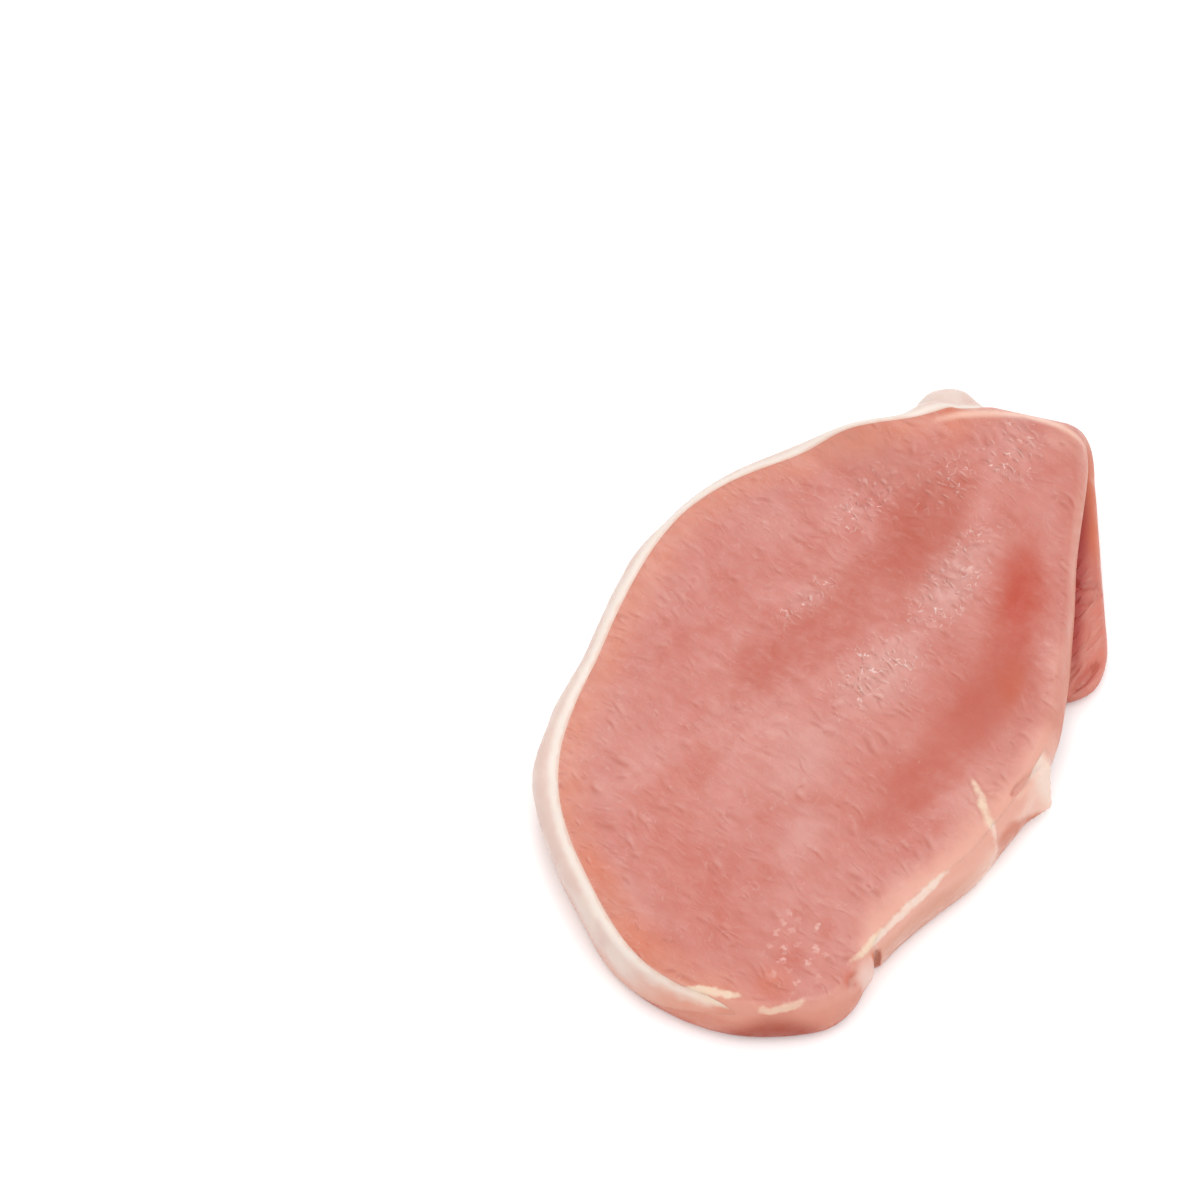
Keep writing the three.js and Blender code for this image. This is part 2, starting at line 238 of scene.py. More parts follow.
def wholeSkin():
    copies = [mergedNode(name) for name in ("lean_eye", "fat_cap", "silverskin")]
    for piece in copies:
        swell(piece, skin["grow"])
    only(*copies)
    bpy.ops.object.join()
    whole = bpy.context.object
    whole.name = "wholeSkin"
    modifier = whole.modifiers.new("remesh", "REMESH")
    modifier.mode = "VOXEL"
    modifier.voxel_size = skin["voxel"] * mm
    modifier.use_smooth_shade = True
    applyModifiers(whole)
    swell(whole, -skin["grow"])
    relax(whole, skin["firstSmoothing"])
    weigh(whole, "broad", lambda place, normal: smoothstep(0.93, 0.99, abs(normal.z)))
    relax(whole, skin["broadSmoothing"], "broad")
    return whole


whole = wholeSkin()
print("skin closed:", len(whole.data.polygons), "faces")


# Relief: each entry is a texture laid in a stretched, turned frame of its own

reliefPlace = (0.013, 0.007, 0.021)  # metres
relief = {
    "swells": {"on": "top", "kind": "CLOUDS", "size": (13, 19, 13), "turn": 10, "height": 0.22},
    "dimples": {"on": "top", "kind": "CLOUDS", "size": (2.6, 6, 4), "turn": 12, "height": 0.08},
    "lumps": {"on": "cobbled", "kind": "VORONOI", "size": (2, 2.9, 3), "turn": -18, "height": 0.3},
    "tailFolds": {"on": "tail", "kind": "CLOUDS", "size": (6, 1.8, 5), "turn": -12, "height": 0.5},
    "wallWaves": {"on": "walls", "kind": "CLOUDS", "size": (9, 9, 5), "turn": 25, "height": 0.5},
    "tabLumps": {"on": "tab", "kind": "CLOUDS", "size": (7, 6, 8), "turn": 40, "height": 1.9},
}


def addRelief(piece, name):
    form = relief[name]
    texture = bpy.data.textures.new(name, form["kind"])
    texture.noise_scale = 1.0
    if form["kind"] == "CLOUDS":
        texture.noise_depth = 1
    bpy.ops.object.empty_add(location=reliefPlace, rotation=(0, 0, math.radians(form["turn"])))
    stretched = bpy.context.object
    stretched.scale = [side * mm for side in form["size"]]
    modifier = piece.modifiers.new(name, "DISPLACE")
    modifier.texture = texture
    modifier.texture_coords = "OBJECT"
    modifier.texture_coords_object = stretched
    modifier.strength = form["height"] * mm
    modifier.mid_level = 0.5
    modifier.vertex_group = form["on"]
    bpy.context.view_layer.update()
    applyModifiers(piece)
    remove(stretched)


def topShare(place, normal):
    return smoothstep(0.55, 0.95, normal.z)


# Where the wet cut face is cobbled: a middle, a reach and a turn each
wetPatches = [
    ((51, -9), (10, 8), 10), ((41, -2), (8, 7), 0), ((35, 10), (10, 6), -20),
    ((25, -10), (16, 7), -8), ((4, -6), (14, 8), -12), ((12, 10), (9, 4), -20),
]


def lumpShare(place, normal):
    best = 0
    for middle, reach, turn in wetPatches:
        away = Vector((place.x - middle[0], place.y - middle[1]))
        away.rotate(Matrix.Rotation(math.radians(-turn), 2))
        best = max(best, 1 - smoothstep(0.2, 1, math.hypot(away.x / reach[0], away.y / reach[1])))
    return topShare(place, normal) * smoothstep(6.8, 8.4, place.z) * (0.12 + 0.88 * best)


def tailShare(place, normal):
    # the upper side of the folded end, where it comes out from under the slice
    onTail = smoothstep(8, 6.6, place.z) * smoothstep(46, 40, place.x) * smoothstep(-22, -26, place.y)
    return onTail * smoothstep(0.2, 0.6, normal.z) * smoothstep(14, 20, place.x)


# The fat's round tab at the fold; its turn is in radians
fatTab = {"place": (57.1, 4.04, 8), "radii": (5.35, 6.95, 6.35), "turn": 0.3}

# The small hollow beside the slit, worn soft
hollow = {"place": (-49, -25.6, 9), "reach": 4.2, "smoothing": 40}

# Creases and low ridges along routes on the skin: a reach, a height and the points they pass
lines = {
    "flapCrease": {"reach": 1.2, "height": -0.8, "route": [
        (-8.2, -34.7, 10), (-5.9, -35.8, 10.3), (-2.9, -37, 10.4), (1.2, -38.4, 10.4),
    ]},
    "seamRidge": {"reach": 1.5, "height": 0.45, "route": [
        (-7.2, -27, 10.9), (-8.9, -29.1, 10.8), (-10.3, -30.5, 10.7), (-11.8, -31.7, 10.8),
        (-13.9, -33.6, 10.6), (-15.2, -34.9, 9.6), (-16.2, -35.8, 7.6), (-16.8, -36.2, 5.2),
    ]},
    "creamLine": {"reach": 1.6, "height": 0.2, "route": [
        (-22, -32.3, 10.4), (-25.9, -31.2, 10.4), (-30.7, -29.8, 10.4), (-35.3, -28.4, 10.4),
        (-40, -27, 10.4), (-43.2, -25.8, 10.4), (-47.3, -24.5, 10.4), (-50.6, -23, 10.4),
    ]},
    "membrane": {"reach": 1.3, "height": 0.2, "route": [
        (-43.2, -25.8, 10.2), (-47.3, -24.5, 10.2), (-50.6, -23, 10.2), (-53.8, -21.9, 10), (-57.2, -20, 10),
        (-59.1, -18.3, 9.8), (-60.6, -16.3, 9.4), (-61, -13.9, 9.4), (-60.7, -11, 9.4), (-60, -9, 9.6),
    ]},
    "tailCrease": {"reach": 1.2, "height": -0.8, "route": [
        (38, -25, 5.8), (37.7, -28.8, 5.7), (38.6, -30.2, 5.7), (40.8, -32, 5.6),
    ]},
    "tailFold": {"reach": 1.1, "height": -0.6, "route": [
        (35, -26.5, 5.6), (34.9, -30.3, 5.6), (36.8, -31.4, 5.6), (39.6, -32.2, 5.5),
    ]},
    "tailCurl": {"reach": 1.5, "height": -1.0, "route": [
        (17.8, -34.9, 3.9), (20.8, -36.2, 4), (24.1, -36.7, 4.3), (27.3, -37.2, 4.5),
    ]},
}


def closeness(place, route, reach):
    # 1 on the route and 0 at its reach, narrower and fainter towards both ends
    best = 0
    for i in range(len(route) - 1):
        start, end = route[i], route[i + 1]
        span = end - start
        share = min(max((place - start).dot(span) / span.length_squared, 0), 1)
        distance = (place - start - span * share).length
        passed = (i + share) / (len(route) - 1)
        middle = math.sin(math.pi * passed)
        width = reach * (0.35 + 0.65 * middle)
        strength = min(0.15 + 1.3 * middle, 1)
        best = max(best, strength * (1 - smoothstep(0.1, 1, distance / width)))
    return best


def besideLine(piece, name):
    route = [Vector(point) for point in lines[name]["route"]]
    reach = lines[name]["reach"]
    low = [min(point[k] for point in route) - reach for k in range(3)]
    high = [max(point[k] for point in route) + reach for k in range(3)]
    values = []
    for vertex in piece.data.vertices:
        place = vertex.co / mm
        near = all(low[k] < place[k] < high[k] for k in range(3))
        values.append(closeness(place, route, reach) if near else 0)
    return values


def addLine(piece, name):
    addGroup(piece, name, besideLine(piece, name))
    swell(piece, lines[name]["height"], name)


def tabShare(place, normal):
    away = (place - Vector(fatTab["place"])).length
    return smoothstep(9.5, 6, away) * smoothstep(54.5, 57, place.x)


def wallShare(place, normal):
    # upright sides, clear of the floor and of the gap in the fold
    clear = 1 - smoothstep(20, 30, place.x) * smoothstep(-10, -18, place.y)
    return smoothstep(0.7, 0.3, abs(normal.z)) * smoothstep(0.5, 2.5, place.z) * clear


def hollowShare(place, normal):
    away = (place - Vector(hollow["place"])).length
    return 1 - smoothstep(0.5, 1, away / hollow["reach"])


weigh(whole, "hollow", hollowShare)
relax(whole, hollow["smoothing"], "hollow")
weigh(whole, "top", topShare)
weigh(whole, "cobbled", lumpShare)
weigh(whole, "tail", tailShare)
weigh(whole, "tab", tabShare)
weigh(whole, "walls", wallShare)
for name in lines:
    addLine(whole, name)
for name in relief:
    addRelief(whole, name)
whole.vertex_groups.clear()
print("relief laid on the face")


# The skin is cut into lean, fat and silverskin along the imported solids' own seams

fatSeam = {
    "edge": [
        (-62.9, -16), (-62.8, -5.6), (-62.9, -1.1), (-62, 4.6), (-59.7, 9.7), (-56.1, 14.9),
        (-51.5, 20.4), (-46.4, 26), (-40.1, 31), (-32.3, 34.5), (-23.3, 36.2), (-14.3, 36.8),
        (-5.3, 37.7), (3.7, 38.1), (11.7, 37.8), (20, 36.3), (28.1, 32.8), (36.2, 27.3),
        (43.7, 20.2), (47.1, 14.3), (50.8, 8.2), (56, 3.4), (60.6, 0), (68, -0.8),
    ],
    "outside": [(78, 8), (78, 60), (-75, 60), (-75, -16)],
    "wedge": [(14.4, -5), (14.4, -2.2), (0.4, 4.3), (-6.6, 7.3), (-17.6, 9.5), (-17.6, -5)],
    "wedgeFrom": -80,
    "wedgeTo": -42,
    "tabMargin": 0.6,
}
skinSeam = {
    "edge": [
        (-42.9, -26.2), (-37.3, -26.9), (-28.3, -30.1), (-21.3, -33.1),
        (-14.8, -34.5), (-7.3, -35.8), (-2.3, -36.3), (2.34, -36.7),
    ],
    "outside": [(2.34, -52), (-42.9, -46)],
}
blockLow, blockHigh = -5, 30
curveSteps = 6


def curveThrough(points):
    # a smooth curve through the points, with curveSteps steps between each pair
    found = []
    for i in range(len(points) - 1):
        before, after = points[max(i - 1, 0)], points[min(i + 2, len(points) - 1)]
        start, end = points[i], points[i + 1]
        for step in range(curveSteps):
            t = step / curveSteps
            found.append(tuple(
                b + 0.5 * (c - a) * t
                + (a - 2.5 * b + 2 * c - 0.5 * d) * t ** 2
                + (1.5 * (b - c) + 0.5 * (d - a)) * t ** 3
                for a, b, c, d in zip(before, start, end, after)
            ))
    return found + [points[-1]]


def block(name, outline, low, high, upright=True):
    # an outline pulled into a block, along Z or, when it isn't upright, along X
    bpy.ops.object.select_all(action="DESELECT")
    bpy.ops.mesh.primitive_circle_add(vertices=len(outline), fill_type="NGON", location=(0, 0, 0))
    piece = bpy.context.object
    piece.name = name
    for vertex, (first, second) in zip(piece.data.vertices, outline):
        place = (first, second, low) if upright else (low, first, second)
        vertex.co = Vector(place) * mm
    reach = (high - low) * mm
    pull = (0, 0, reach) if upright else (reach, 0, 0)
    bpy.ops.object.mode_set(mode="EDIT")
    bpy.ops.mesh.select_all(action="SELECT")
    bpy.ops.mesh.extrude_region_move(TRANSFORM_OT_translate={"value": pull})
    bpy.ops.mesh.select_all(action="SELECT")
    bpy.ops.mesh.normals_make_consistent(inside=False)
    bpy.ops.object.mode_set(mode="OBJECT")
    return piece


def fatCutter():
    cutter = block("fatCutter", curveThrough(fatSeam["edge"]) + fatSeam["outside"], blockLow, blockHigh)
    wedge = block("wedge", fatSeam["wedge"], fatSeam["wedgeFrom"], fatSeam["wedgeTo"], upright=False)
    combine(cutter, wedge, "DIFFERENCE")
    remove(wedge)
    bpy.ops.mesh.primitive_uv_sphere_add(segments=48, ring_count=24, radius=1)
    tab = bpy.context.object
    tab.scale = (Vector(fatTab["radii"]) + Vector([fatSeam["tabMargin"]] * 3)) * mm
    tab.rotation_euler = (0, 0, fatTab["turn"])
    tab.location = Vector(fatTab["place"]) * mm
    bpy.ops.object.transform_apply(location=True, rotation=True, scale=True)
    combine(cutter, tab, "UNION")
    remove(tab)
    return cutter


def largestPart(piece):
    only(piece)
    bpy.ops.object.mode_set(mode="EDIT")
    bpy.ops.mesh.select_all(action="SELECT")
    bpy.ops.mesh.separate(type="LOOSE")
    bpy.ops.object.mode_set(mode="OBJECT")
    parts = sorted(bpy.context.selected_objects, key=lambda part: len(part.data.vertices))
    kept = parts.pop()
    for scrap in parts:
        print("  scrap of", len(scrap.data.vertices), "points dropped from", piece.name)
        remove(scrap)
    return kept


def cutPieces():
    fatBlock = fatCutter()
    skinBlock = block("skinCutter", curveThrough(skinSeam["edge"]) + skinSeam["outside"],
                      blockLow, blockHigh)
    pieces = {}
    for name, steps in {
        "leanEye": [(fatBlock, "DIFFERENCE"), (skinBlock, "DIFFERENCE")],
        "fatCap": [(fatBlock, "INTERSECT")],
        "silverskinStrip": [(skinBlock, "INTERSECT"), (fatBlock, "DIFFERENCE")],
    }.items():
        piece = copyOf(whole, name)
        for cutter, operation in steps:
            combine(piece, cutter, operation)
        piece = largestPart(piece)
        piece.name = name
        pieces[name] = piece
        print("  ", name, len(piece.data.polygons), "faces")
    remove(fatBlock)
    remove(skinBlock)
    return pieces


pieces = cutPieces()
lean = pieces["leanEye"]
fat = pieces["fatCap"]
silverskin = pieces["silverskinStrip"]
remove(whole)
for piece in pieces.values():
    only(piece)
    bpy.ops.object.shade_smooth_by_angle(angle=math.radians(50))
print("slice cut into its three pieces")


# Facts about the surface that the materials read

def treeOf(piece):
    return BVHTree.FromObject(piece, bpy.context.evaluated_depsgraph_get())


farthest = 30


def recordDistance(piece, name, other):
    # distance to another piece in millimetres, up to the farthest that counts
    tree = treeOf(other)
    values = []
    for vertex in piece.data.vertices:
        found = tree.find_nearest(vertex.co, farthest * mm)
        values.append(found[3] / mm if found[0] else farthest)
    record(piece, name, values)


def recordSides(piece):
    # how far each point belongs to the wall, to the upper face and to the rounded rim between them
    walls, faces, rims = [], [], []
    for vertex in piece.data.vertices:
        up = vertex.normal.z
        walls.append(1 - smoothstep(0.25, 0.8, abs(up)))
        faces.append(smoothstep(0.3, 0.75, up) * smoothstep(6.8, 8.4, vertex.co.z / mm))
        rims.append((1 - smoothstep(0.8, 0.97, up)) * smoothstep(0.1, 0.45, up))
    record(piece, "wall", walls)
    record(piece, "face", faces)
    record(piece, "rim", rims)


def recordShare(piece, name, rule):
    record(piece, name, [rule(vertex.co / mm, vertex.normal) for vertex in piece.data.vertices])


# Lines that only colour the meat: the pale rims with a painted highlight, the dark troughs, partly their own
# deeper colour and partly painted shade, the painted shade under the fold and the shaded near side
lines.update({
    "farRimHighlight": {"reach": 1.9, "route": [
        (51, 5.2, 15.5), (52, 4.4, 15.5), (54.5, 1.7, 15.5), (56.7, -1.3, 15.2), (58.5, -4.3, 14.7),
        (60.3, -7.5, 13.8), (60.6, -10.8, 14), (60.4, -14, 14.3), (59.7, -17, 14.5), (59, -19.7, 14),
        (55, -22.2, 14),
    ]},
    "foldRimHighlight": {"reach": 1.7, "route": [
        (57.5, -20, 14.2), (52.7, -21.7, 14.5), (43.9, -24.5, 14.5), (36.6, -27.1, 14),
        (29.4, -29.8, 13.5), (22.3, -32.4, 13), (13.5, -35.9, 12.5), (5, -38.5, 11),
    ]},
    "nearFat": {"reach": 1.5, "route": [
        (-63.6, -1.5, 10), (-63, -3.4, 10.5), (-62.4, -5.4, 10.7), (-61.8, -8.1, 10.9), (-61.1, -10.4, 10.9),
        (-60.2, -12.2, 10.9),
    ]},
    "underFold": {"reach": 2.6, "route": [
        (56, -21.5, 6.5), (50, -23.6, 6.2), (42, -26.2, 6), (33, -29.6, 5.4), (27, -32, 4.6), (20, -35.6, 4),
    ]},
    "backTrough": {"reach": 13, "route": [
        (54, -6, 12), (48.8, -5.2, 11.5), (41.3, -3.5, 11), (29.9, -1, 11), (18.8, 1.8, 11),
        (10.4, 4.4, 11), (3, 8, 11), (-4.7, 11.5, 11), (-10.9, 14, 11), (-20, 15, 11),
    ]},
    "cutTrough": {"reach": 10.5, "route": [
        (41, -16.5, 12.5), (36.8, -17.7, 12), (30.5, -20.7, 12), (23, -23.6, 12), (13.2, -25, 12),
        (4.2, -24.5, 12), (-4.1, -22.5, 11.5), (-13.3, -20.3, 11), (-21.5, -18.7, 11), (-30, -16, 11),
    ]},
    "nearShade": {"reach": 10, "route": [
        (-18, 13, 11.5), (-24.6, 13, 11.5), (-34.3, 15.6, 11.5), (-41.8, 12.5, 11.5),
        (-47.3, 4, 11.5), (-52, -3.3, 11), (-54, -12, 11),
    ]},
})

for piece in pieces.values():
    recordSides(piece)
for name in lines:
    record(lean, name, besideLine(lean, name))
for name in ("flapCrease", "seamRidge", "creamLine"):
    record(silverskin, name, besideLine(silverskin, name))
recordShare(lean, "cobbled", lumpShare)
recordShare(lean, "tail", tailShare)
recordDistance(lean, "fatDistance", fat)
recordDistance(lean, "skinDistance", silverskin)
recordDistance(fat, "leanDistance", lean)
recordDistance(silverskin, "leanDistance", lean)
print("surface facts recorded")


# Materials

# How much light reaches the upper face and the walls, and the white gloss that lies over both
faceLight = 1.38
rimLight = 1.3
wallLight = 1.32
fatLight = 1.34
gloss = 0.085


def shown(colour, light=faceLight):
    # the colour that shows as this one, out of 255, under the lights and the wet gloss here
    linear = [((value / 255 + 0.055) / 1.055) ** 2.4 for value in colour]
    return (*[max(value - gloss, 0.01) / light for value in linear], 1)


def newMaterial(name):
    material = bpy.data.materials.new(name)
    material.use_nodes = True
    return material, material.node_tree, material.node_tree.nodes["Principled BSDF"]


def feed(tree, node, inputs):
    # an input is linked to another node's output, or set to a plain value
    for name, value in inputs.items():
        if isinstance(value, bpy.types.NodeSocket):
            tree.links.new(value, node.inputs[name])
        else:
            node.inputs[name].default_value = value


def add(tree, kind, inputs=None, **settings):
    node = tree.nodes.new("ShaderNode" + kind)
    for name, value in settings.items():
        setattr(node, name, value)
    feed(tree, node, inputs or {})
    return node


def maths(tree, operation, first, second=0.0, clamp=False):
    node = add(tree, "Math", {0: first, 1: second}, operation=operation, use_clamp=clamp)
    return node.outputs[0]


def vectorMaths(tree, operation, first, second=None, output="Vector"):
    inputs = {0: first}
    if second is not None:
        inputs[1] = second
    return add(tree, "VectorMath", inputs, operation=operation).outputs[output]


def scaled(tree, vector, factor):
    return add(tree, "VectorMath", {0: vector, "Scale": factor}, operation="SCALE").outputs["Vector"]


def ramp(tree, value, low, high, toLow=0.0, toHigh=1.0):
    inputs = {"Value": value, "From Min": low, "From Max": high, "To Min": toLow, "To Max": toHigh}
    return add(tree, "MapRange", inputs, interpolation_type="SMOOTHSTEP").outputs["Result"]


def blend(tree, share, first, second):
    # inputs 6 and 7 and output 2 are the node's colours
    node = add(tree, "Mix", {"Factor": share, 6: first, 7: second}, data_type="RGBA")
    return node.outputs[2]


def cloud(tree, vector, size, detail=2.0, roughness=0.5, output=0):
    # noise with features of about the given size in millimetres
    inputs = {"Vector": vector, "Scale": 1.0 / size, "Detail": detail, "Roughness": roughness}
    return add(tree, "TexNoise", inputs).outputs[output]


def fact(tree, name):
    return add(tree, "Attribute", attribute_name=name).outputs["Fac"]


def millimetres(tree):
    place = add(tree, "TexCoord").outputs["Object"]
    return scaled(tree, place, 1 / mm)


def turnedNoise(tree, place, turn, size):
    # noise with grains of the given size, their long side turned in the plane
    turned = add(tree, "VectorRotate", {"Vector": place, "Angle": turn}, rotation_type="Z_AXIS")
    laid = vectorMaths(tree, "DIVIDE", turned.outputs[0], size)
    return add(tree, "TexNoise", {"Vector": laid, "Scale": 1.0, "Detail": 2.0}).outputs[0]


def times(tree, *shares):
    total = shares[0]
    for share in shares[1:]:
        total = maths(tree, "MULTIPLY", total, share)
    return total


def plus(tree, *heights):
    total = heights[0]
    for height in heights[1:]:
        total = maths(tree, "ADD", total, height)
    return total


def wander(tree, place, size, detail, amount):
    # the place pushed about by noise, by up to half the amount each way
    drift = vectorMaths(tree, "SUBTRACT", cloud(tree, place, size, detail, output="Color"), (0.5, 0.5, 0.5))
    return vectorMaths(tree, "ADD", place, scaled(tree, drift, amount))


def centredNoise(tree, place, size, amount):
    # noise that adds up to half the amount either way
    return times(tree, maths(tree, "SUBTRACT", cloud(tree, place, size, 2.0), 0.5), amount)


def newGroup(name, inputs, outputs):
    group = bpy.data.node_groups.new(name, "ShaderNodeTree")
    for socket, kind in inputs.items():
        group.interface.new_socket(socket, in_out="INPUT", socket_type="NodeSocket" + kind)
    for socket in outputs:
        group.interface.new_socket(socket, in_out="OUTPUT", socket_type="NodeSocketFloat")
    into = group.nodes.new("NodeGroupInput")
    out = group.nodes.new("NodeGroupOutput")
    return group, into.outputs, out.inputs


def softPatchGroup():
    # a soft oval mask at a place, with its long axis turned
    inputs = {
        "Vector": "Vector", "Centre": "Vector", "Reach": "Vector", "Turn": "Float", "Softness": "Float",
    }
    group, given, made = newGroup("softPatch", inputs, ["Mask"])
    away = vectorMaths(group, "SUBTRACT", given["Vector"], given["Centre"])
    turned = add(group, "VectorRotate", {"Vector": away, "Angle": given["Turn"]}, rotation_type="Z_AXIS")
    shrunk = vectorMaths(group, "DIVIDE", turned.outputs[0], given["Reach"])
    distance = vectorMaths(group, "LENGTH", shrunk, output="Value")
    inner = maths(group, "SUBTRACT", 1.0, given["Softness"])
    mask = ramp(group, distance, inner, 1.0, 1.0, 0.0)
    group.links.new(mask, made["Mask"])
    return group


def fibreMarksGroup():
    # fibre bundles cut across: short curved dark lines, grooves of the grain with painted shade in them, a
    # pale one beside each as a painted highlight on the groove's lit edge, and soft streaks
    inputs = {
        "Vector": "Vector", "Turn": "Float", "Spacing": "Float", "Length": "Float",
        "Width": "Float", "Presence": "Float", "Bow": "Float",
    }
    group, given, made = newGroup("fibreMarks", inputs, ["Dark", "Pale", "Streak"])
    place = wander(group, given["Vector"], 8.0, 1.0, 5.0)
    turned = add(group, "VectorRotate", {"Vector": place, "Angle": given["Turn"]}, rotation_type="Z_AXIS")
    cell = add(group, "CombineXYZ", {
        "X": given["Spacing"], "Y": times(group, given["Length"], 1.15), "Z": 1000.0,
    }).outputs[0]
    laid = vectorMaths(group, "DIVIDE", turned.outputs[0], cell)
    cells = add(group, "TexVoronoi", {"Vector": laid, "Scale": 1.0}, voronoi_dimensions="2D")
    fromCentre = vectorMaths(group, "SUBTRACT", laid, cells.outputs["Position"])
    local = add(group, "SeparateXYZ", {0: vectorMaths(group, "MULTIPLY", fromCentre, cell)})
    chance = add(group, "SeparateXYZ", {0: cells.outputs["Color"]})
    along = local.outputs["Y"]
    slant = times(group, maths(group, "SUBTRACT", chance.outputs["X"], 0.5), 0.5)
    bow = times(group, maths(group, "SUBTRACT", chance.outputs["Y"], 0.35), given["Bow"])
    across = plus(group, local.outputs["X"], times(group, along, slant), times(group, along, along, bow))
    reach = times(group, given["Length"], ramp(group, chance.outputs["Y"], 0.0, 1.0, 0.2, 0.6))
    ends = maths(group, "DIVIDE", maths(group, "ABSOLUTE", along), reach)
    kept = maths(group, "LESS_THAN", chance.outputs["Z"], given["Presence"])
    share = times(group, ramp(group, ends, 0.1, 1.0, 1.0, 0.0), kept)
    width = times(group, given["Width"], ramp(group, chance.outputs["X"], 0.0, 1.0, 0.6, 1.5))
    line = maths(group, "DIVIDE", maths(group, "ABSOLUTE", across), width)
    dark = times(group, share, ramp(group, line, 0.0, 1.0, 1.0, 0.0))
    offset = maths(group, "SUBTRACT", across, times(group, width, 1.5))
    beside = maths(group, "DIVIDE", maths(group, "ABSOLUTE", offset), width)
    pale = times(group, share, ramp(group, beside, 0.0, 1.4, 1.0, 0.0))
    streak = ramp(group, turnedNoise(group, place, given["Turn"], (1.5, 4.6, 4.6)), 0.36, 0.66)
    group.links.new(dark, made["Dark"])
    group.links.new(pale, made["Pale"])
    group.links.new(streak, made["Streak"])
    return group


def wetGrainGroup():
    # the grain of a wet cut face: the height of its soft lumps, and painted glints, specks and thin arcs
    # coloured as if they caught the light
    inputs = {"Vector": "Vector", "Size": "Float", "Stretch": "Float", "Turn": "Float"}
    group, given, made = newGroup("wetGrain", inputs, ["Height", "Glint"])
    place = wander(group, given["Vector"], 2.6, 2.0, 1.8)
    turned = add(group, "VectorRotate", {"Vector": place, "Angle": given["Turn"]}, rotation_type="Z_AXIS")
    cell = add(group, "CombineXYZ", {
        "X": given["Size"], "Y": times(group, given["Size"], given["Stretch"]), "Z": given["Size"],
    }).outputs[0]
    laid = vectorMaths(group, "DIVIDE", turned.outputs[0], cell)
    rounded = {"Vector": laid, "Scale": 1.0, "Smoothness": 0.8}
    cells = add(group, "TexVoronoi", rounded, feature="SMOOTH_F1")
    height = ramp(group, cells.outputs["Distance"], 0.0, 0.75, 1.0, 0.0)
    # painted glints: thin broken arcs, where a noise passes its middle value
    passing = maths(group, "SUBTRACT", cloud(group, place, 2.0, 1.5), 0.5)
    arc = ramp(group, maths(group, "ABSOLUTE", passing), 0.004, 0.03, 1.0, 0.0)
    broken = ramp(group, cloud(group, given["Vector"], 1.0, 1.0), 0.5, 0.6)
    clustered = ramp(group, cloud(group, given["Vector"], 5.0, 1.0), 0.42, 0.58)
    group.links.new(height, made["Height"])
    group.links.new(times(group, arc, broken, clustered), made["Glint"])
    return group


softPatch = softPatchGroup()
fibreMarks = fibreMarksGroup()
wetGrain = wetGrainGroup()


def useGroup(tree, group, values):
    return add(tree, "Group", values, node_tree=group).outputs


def patchMask(tree, place, patch):
    # a patch with a place in the plane goes through the whole height
    centre, reach, turn, softness = patch
    if len(centre) == 2:
        centre, reach = (*centre, 0), (*reach, 1000)
    return useGroup(tree, softPatch, {
        "Vector": place, "Centre": centre, "Reach": reach,
        "Turn": math.radians(-turn), "Softness": softness,
    })["Mask"]


def patches(tree, place, found):
    total = None
    for patch in found:
        mask = patchMask(tree, place, patch)
        total = mask if total is None else maths(tree, "MAXIMUM", total, mask)
    return total


def tornLine(tree, place, name):
    # a line's mask with a ragged edge
    torn = plus(tree, fact(tree, name), centredNoise(tree, place, 1.3, 1.1))
    return ramp(tree, torn, 0.25, 1.0)


def blendAll(tree, tone, layers):
    # each layer is a mask, a strength and a colour
    for mask, strength, colour in layers:
        tone = blend(tree, times(tree, mask, strength), tone, colour)
    return tone


def bumped(tree, shader, height):
    # the height is in millimetres
    bump = add(tree, "Bump", {"Strength": 1.0, "Distance": mm, "Height": height})
    tree.links.new(bump.outputs["Normal"], shader.inputs["Normal"])


leanLook = {
    "base": (220, 150, 139),
    "rosy": (214, 137, 126),
    "peach": (228, 156, 134),
    # trough and core: the troughs' darker, redder tones, partly their own colour and partly painted shade in
    # the valleys
    "trough": (200, 112, 98),
    "core": (202, 100, 80),
    "nearShade": (213, 132, 119),
    "orange": (222, 130, 104),
    # a painted sheen, the soft highlight of the wet face, also used for paler mottling
    "sheen": (226, 170, 161),
    # painted highlight on the rounded rims; the far rim's painted highlight is a paler peach
    "rim": (236, 180, 164),
    "farRimHighlight": (250, 206, 188),
    "cream": (248, 220, 196),
    "wall": (222, 152, 134),
    # painted shade at the foot of the walls
    "wallFootShade": (198, 104, 82),
    "slit": (222, 124, 84),
    "knob": (248, 214, 203),
    # painted shade in the small hollow
    "pitShade": (218, 132, 116),
    # painted shade in the gap under the fold, tinted orange
    "gapShadeOrange": (224, 134, 108),
    # painted shade in the creases and under the fold
    "foldShade": (192, 76, 56),
    "lobe": (226, 146, 131),
    "footShade": (182, 100, 52),
    "deep": (206, 114, 100),
    # the fibre marks' dark grooves carry painted shade, and the pale line beside each a painted highlight;
    # both colours also tint soft streaks
    "markDark": (188, 112, 98),
    "markPale": (236, 184, 174),
    # painted glints
    "glint": (252, 222, 214),
    # pale flecks in the meat, and painted soft glints on the flakes' pale sides
    "fleckAndSoftGlint": (243, 196, 186),
}
